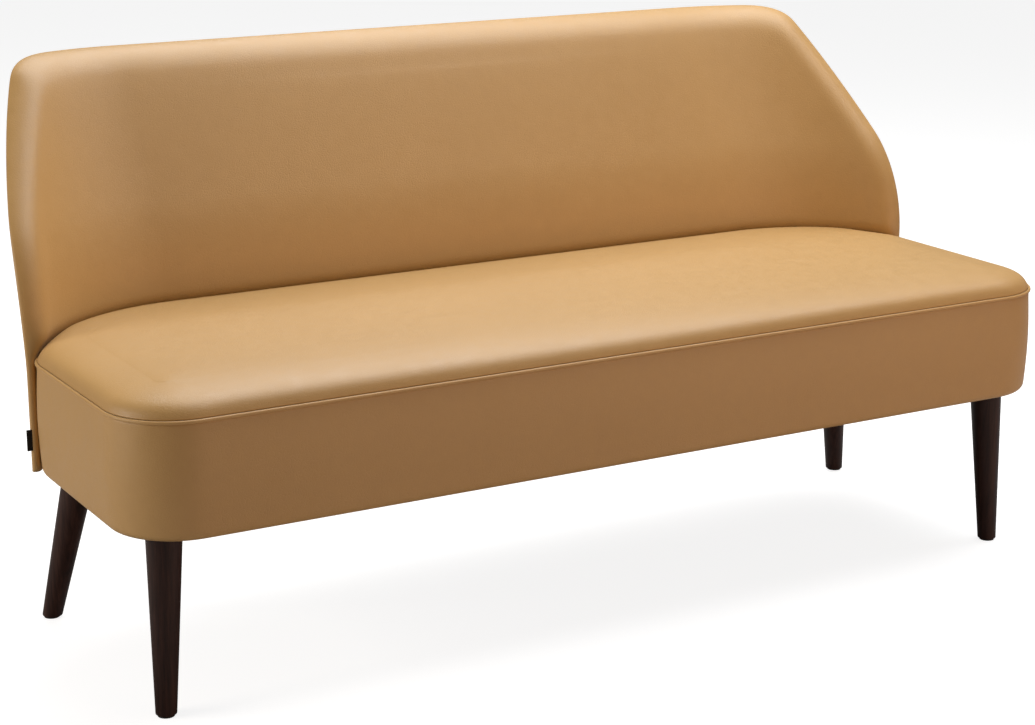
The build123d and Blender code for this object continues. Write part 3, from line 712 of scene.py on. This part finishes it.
def back_front_pad():
    """Front of the back: from the rear seam over the rim, round the pad's edge and across its face."""
    rim, inward = back_rim()
    radius = roll_sizes(rim[:, 1])[0]
    rings = []
    even = np.ones(len(rim))
    profile = [(even * SEAM_INSET, 0.0012, 0)]
    profile += [(even * (SEAM_INSET - 0.0006), 0.0002, 0), (even * (SEAM_INSET - 0.002), -0.0003, 0)]
    for angle in np.linspace(10, 80, 4):
        a = math.radians(angle)
        profile.append((even * EDGE_R * (1 - math.sin(a)), EDGE_R * (1 - math.cos(a)), 0))
    for angle in np.linspace(4, 90, 13):
        a = math.radians(angle)
        profile.append((radius * (1 - max(math.cos(a), 0) ** ROLL_SOFTNESS), EDGE_R, math.sin(a)))
    for share in (0.35, 0.68, 1.0):
        profile.append((radius + (RING_REACH - radius) * share, EDGE_R, 1))
    for inset, base, share in profile:
        place = relaxed(rim + inward * inset[:, None], inset.max())
        rings.append((place, base + (roll_sizes(place[:, 1])[1] - base) * share))
    verts = list(np.vstack([back_point(p[:, 0], p[:, 1], d) for p, d in rings]))
    ids = back_middle(verts, [p for p, _ in rings], lambda z: roll_sizes(z)[1])
    faces = [f[::-1] for f in grid_faces(len(rings), len(rim))] + id_faces(ids)
    pad = mesh_object("back_pad", verts, faces, leather)
    pinned = np.array([v[2] for v in verts]) < PIPING_Z + 0.02
    pinned[: HELD_RINGS * len(rim)] = True
    inflate(pad, pinned, BACK_PRESSURE, BACK_PUFF)
    return thicken(pad, LEATHER)


REAR_EDGE = ((0.0002, 0.0016), (0.0008, 0.0004), (0.002, -0.0004))  # reach in from the seam, depth
REAR_FULLNESS = 0.0006
REAR_REACHES = (0.005, 0.010, 0.018, 0.028, 0.040)


def back_rear_panel():
    """Rear leather: one plain panel inside the rim seam, slightly full at its edge."""
    rim, inward = back_rim()
    profile = REAR_EDGE + tuple((reach, -REAR_FULLNESS) for reach in REAR_REACHES)
    rings = []
    for reach, depth in profile:
        inset = SEAM_INSET + reach
        rings.append((relaxed(rim + inward * inset, inset), depth))
    verts = list(np.vstack([back_point(p[:, 0], p[:, 1], d) for p, d in rings]))
    ids = back_middle(verts, [p for p, _ in rings], lambda z: -REAR_FULLNESS)
    faces = grid_faces(len(rings), len(rim)) + id_faces(ids[::-1])
    panel = mesh_object("back_rear_panel", verts, faces, leather)
    return thicken(panel, LEATHER, levels=0)


# ================================================================== seam tab and staples
def seam_tab():
    """Folded tape: two plies that lie together, round at the fold."""
    half_t = (tab_high.y - tab_low.y) / 2
    middle_y = (tab_high.y + tab_low.y) / 2
    ply = half_t * 0.92
    outline = [(tab_high.x, ply), (tab_low.x + ply * 1.2, ply)]
    for angle in np.linspace(100, 260, 9):
        a = math.radians(angle)
        outline.append((tab_low.x + ply * 1.2 + ply * 1.2 * math.cos(a), ply * math.sin(a)))
    inside = tab_low.x + ply * 2.4
    outline += [(tab_low.x + ply * 1.2, -ply), (tab_high.x, -ply), (tab_high.x, -ply * 0.1)]
    outline += [(inside, -ply * 0.06), (inside, ply * 0.06), (tab_high.x, ply * 0.1)]
    heights = np.linspace(tab_low.z, tab_high.z, 12)
    verts = [(x, middle_y + y, z) for z in heights for x, y in outline]
    width = len(outline)
    faces = [f[::-1] for f in grid_faces(len(heights), width, wrap=True)]
    faces.append(tuple(range(width)))
    faces.append(tuple(range((len(heights) - 1) * width, len(heights) * width))[::-1])
    tab = mesh_object("folded_seam_tab", verts, faces, tab_tape)
    tab.data.polygons.foreach_set("use_smooth", [False] * len(tab.data.polygons))
    return tab


def staple_group():
    """Geometry nodes: one staple set on every point, each turned a little differently."""
    tree = bpy.data.node_groups.new("staple_row", "GeometryNodeTree")
    face = tree.interface
    face.new_socket("Geometry", in_out="INPUT", socket_type="NodeSocketGeometry")
    face.new_socket("Staple", in_out="INPUT", socket_type="NodeSocketObject")
    face.new_socket("Turn", in_out="INPUT", socket_type="NodeSocketFloat")
    face.new_socket("Seed", in_out="INPUT", socket_type="NodeSocketInt")
    face.new_socket("Finish", in_out="INPUT", socket_type="NodeSocketMaterial")
    face.new_socket("Geometry", in_out="OUTPUT", socket_type="NodeSocketGeometry")
    start = tree.nodes.new("NodeGroupInput")
    end = tree.nodes.new("NodeGroupOutput")
    info = tree.nodes.new("GeometryNodeObjectInfo")
    place = tree.nodes.new("GeometryNodeInstanceOnPoints")
    wobble = tree.nodes.new("FunctionNodeRandomValue")
    wobble.data_type = "FLOAT"
    negative = tree.nodes.new("ShaderNodeMath")
    negative.operation = "MULTIPLY"
    negative.inputs[1].default_value = -1
    turn = tree.nodes.new("ShaderNodeCombineXYZ")
    real = tree.nodes.new("GeometryNodeRealizeInstances")
    finish = tree.nodes.new("GeometryNodeSetMaterial")
    link = tree.links.new
    link(start.outputs["Geometry"], place.inputs["Points"])
    link(start.outputs["Staple"], info.inputs["Object"])
    link(info.outputs["Geometry"], place.inputs["Instance"])
    link(start.outputs["Turn"], negative.inputs[0])
    link(negative.outputs[0], wobble.inputs[2])
    link(start.outputs["Turn"], wobble.inputs[3])
    link(start.outputs["Seed"], wobble.inputs["Seed"])
    link(wobble.outputs[1], turn.inputs["Z"])
    link(turn.outputs["Vector"], place.inputs["Rotation"])
    link(place.outputs["Instances"], real.inputs["Geometry"])
    link(real.outputs["Geometry"], finish.inputs["Geometry"])
    link(start.outputs["Finish"], finish.inputs["Material"])
    link(finish.outputs["Geometry"], end.inputs["Geometry"])
    return tree


STAPLE_HALF = 0.0045
STAPLE_WIRE_R = 0.0004
STAPLE_STEP = 0.045
STAPLE_INSET = 0.021
STAPLE_TURN = 0.16  # most that one stands askew, radians


def length_round(ring):
    """Length round a closed line."""
    return np.linalg.norm(np.diff(np.vstack([ring, ring[:1]]), axis=0), axis=1).sum()


def dust_cover_staples():
    """Staples along the front and the rear edge of the dust cover."""
    staple_low, staple_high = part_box("dust_cover_staples")
    z = (staple_low.z + staple_high.z) / 2
    ring = seat_outline(STAPLE_INSET, 2 * OUTLINE_COUNT)
    around = resample(ring, round(length_round(ring) / STAPLE_STEP), closed=True)
    points = bpy.data.meshes.new("staple_places")
    straight = around[np.abs(around[:, 0]) < SEAT_HALF - FRONT_CORNER_R]
    front = straight[:, 1] < SEAT_FRONT + 0.04
    rear = straight[:, 1] > ring[:, 1].max() - 0.02
    points.from_pydata([(x, y, z) for x, y in straight[front | rear]], [], [])
    row = bpy.data.objects.new("underside_staples", points)
    bpy.context.collection.objects.link(row)
    shape = staple_shape()
    modifier = row.modifiers.new("staples", "NODES")
    modifier.node_group = staple_group()
    items = modifier.node_group.interface.items_tree
    sockets = {item.name: item.identifier for item in items if item.in_out == "INPUT"}
    modifier[sockets["Staple"]] = shape
    modifier[sockets["Turn"]] = STAPLE_TURN
    modifier[sockets["Seed"]] = 7
    modifier[sockets["Finish"]] = steel
    apply_modifiers(row)
    bpy.data.objects.remove(shape)
    return row


def staple_shape():
    """Crown of one staple: a short round wire with its ends turned up into the frame."""
    path = [(-STAPLE_HALF, 0, 0.0016), (-STAPLE_HALF, 0, 0.0003), (-STAPLE_HALF + 0.0004, 0, 0)]
    path += [(-x, y, z) for x, y, z in path[::-1]]
    sides = 8
    across = np.array([0, 1, 0])
    verts = []
    for k, (x, y, z) in enumerate(path):
        before = np.array(path[max(k - 1, 0)])
        after = np.array(path[min(k + 1, len(path) - 1)])
        way = (after - before) / np.linalg.norm(after - before)
        up = np.cross(way, across)
        for i in range(sides):
            a = 2 * math.pi * i / sides
            out = math.cos(a) * up + math.sin(a) * across
            verts.append(np.array([x, y, z]) + STAPLE_WIRE_R * out)
    faces = grid_faces(len(path), sides, wrap=True)
    faces += [tuple(range(sides))[::-1], tuple(range((len(path) - 1) * sides, len(path) * sides))]
    return mesh_object("staple", verts, faces, steel)


# ================================================================== camera, light, floor
CAMERA_LENS = 80.63
CAMERA_TURN = math.radians(-29.816)
CAMERA_PITCH = math.radians(15.108)
CAMERA_PLACE = (-1.8041, SEAT_FRONT - 2.7706, 1.3165)


def camera():
    """Camera at the front left, above the back's top, looking slightly down."""
    data = bpy.data.cameras.new("camera")
    data.sensor_width = 36.0
    data.lens = CAMERA_LENS
    data.clip_end = 60.0
    eye = bpy.data.objects.new("camera", data)
    bpy.context.collection.objects.link(eye)
    level = math.cos(CAMERA_PITCH)
    sideways, forwards = math.sin(CAMERA_TURN) * level, math.cos(CAMERA_TURN) * level
    back = Vector((sideways, -forwards, math.sin(CAMERA_PITCH)))
    eye.location = CAMERA_PLACE
    eye.rotation_mode = "QUATERNION"
    eye.rotation_quaternion = (-back).to_track_quat("-Z", "Y")
    bpy.context.scene.camera = eye


def area_light(name, place, target, size, power, colour=(1, 1, 1)):
    """Soft box aimed at a point."""
    data = bpy.data.lights.new(name, "AREA")
    data.shape = "RECTANGLE"
    data.size = size[0]
    data.size_y = size[1]
    data.energy = power
    data.color = colour
    lamp = bpy.data.objects.new(name, data)
    bpy.context.collection.objects.link(lamp)
    lamp.location = place
    lamp.rotation_mode = "QUATERNION"
    lamp.rotation_quaternion = (Vector(target) - Vector(place)).to_track_quat("-Z", "Y")


WHITE_SEEN = 0.85  # brightness that the camera sees added to the floor and the surroundings
SKY_LIGHT = 0.12
FLOOR_REACH = 14.0
FLOOR_GREY = (0.42, 0.42, 0.42, 1)


def studio():
    """Pale floor, white surroundings and soft boxes."""
    world = bpy.data.worlds.new("studio")
    bpy.context.scene.world = world
    world.use_nodes = True
    tree = world.node_tree
    sky = tree.nodes["Background"]
    sky.inputs["Color"].default_value = (1, 1, 1, 1)
    path = tree.nodes.new("ShaderNodeLightPath")
    seen = maths(tree, "MULTIPLY", path.outputs["Is Camera Ray"], WHITE_SEEN)
    tree.links.new(maths(tree, "ADD", seen, SKY_LIGHT), sky.inputs["Strength"])
    floor_material, tree, shader = new_material("pale_floor")
    shader.inputs["Base Color"].default_value = FLOOR_GREY
    shader.inputs["Roughness"].default_value = 0.9
    shader.inputs["Specular IOR Level"].default_value = 0.1
    shader.inputs["Emission Color"].default_value = (1, 1, 1, 1)
    path = tree.nodes.new("ShaderNodeLightPath")
    glow = maths(tree, "MULTIPLY", path.outputs["Is Camera Ray"], WHITE_SEEN)
    tree.links.new(glow, shader.inputs["Emission Strength"])
    corners = [(x * FLOOR_REACH, y * FLOOR_REACH, 0) for x, y in ((-1, -1), (1, -1), (1, 1), (-1, 1))]
    floor_piece = mesh_object("floor", corners, [(0, 1, 2, 3)], floor_material)
    area_light("overhead", (0.9, 0.62, 3.25), (0, 0.15, 0.4), (3.8, 2.4), 154)
    area_light("left_side", (-3.3, 0.4, 1.2), (-0.8, 0, 0.35), (1.6, 1.4), 46, (1.0, 0.90, 0.80))
    area_light("front_fill", (1.6, -3.2, 0.45), (0, 0, 0.30), (3.2, 0.6), 33, (1.0, 0.62, 0.42))


bpy.context.scene.view_settings.view_transform = "Standard"
camera()
studio()

slots = {part["node"]: part["material_slot"] for part in frame["record"]["subparts"]}
pad_piece = seat_pad()
apron_piece = apron()
piping_piece = piping()
back_piece = back_front_pad()
rear_piece = back_rear_panel()
tab_piece = seam_tab()
staple_piece = dust_cover_staples()

for piece, nodes in (
    (pad_piece, ("seat_top_cover", "seat_wadding", "seat_foam_topper")),
    (apron_piece, ("seat_border_cover",)),
    (piping_piece, ("piping_cover",)),
    (back_piece, ("back_front_cover", "back_rim_strip", "back_foam")),
    (rear_piece, ("back_rear_cover",)),
    (tab_piece, ("seam_tab",)),
    (staple_piece, ("dust_cover_staples",)),
):
    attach(piece, "root")
    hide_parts(*nodes)

# ------------------------------------------------------------------ finish of the CAD pieces that stay
finishes = {
    "tan_leather": leather,
    "foam": foam,
    "wadding": wadding,
    "grey_felt": felt,
    "black_cloth": dust_cloth,
    "black_tape": tab_tape,
    "beech": beech,
    "plywood": plywood,
    "fibreboard": fibreboard,
    "black_plastic": glide_plastic,
    "steel": steel,
}
for name, piece in frame["nodes"].items():
    if slots[name] == "dark_stained_wood":
        finish = wood_material(f"stained_beech_{name}")
    else:
        finish = finishes[slots[name]]
    piece.data.materials.clear()
    piece.data.materials.append(finish)
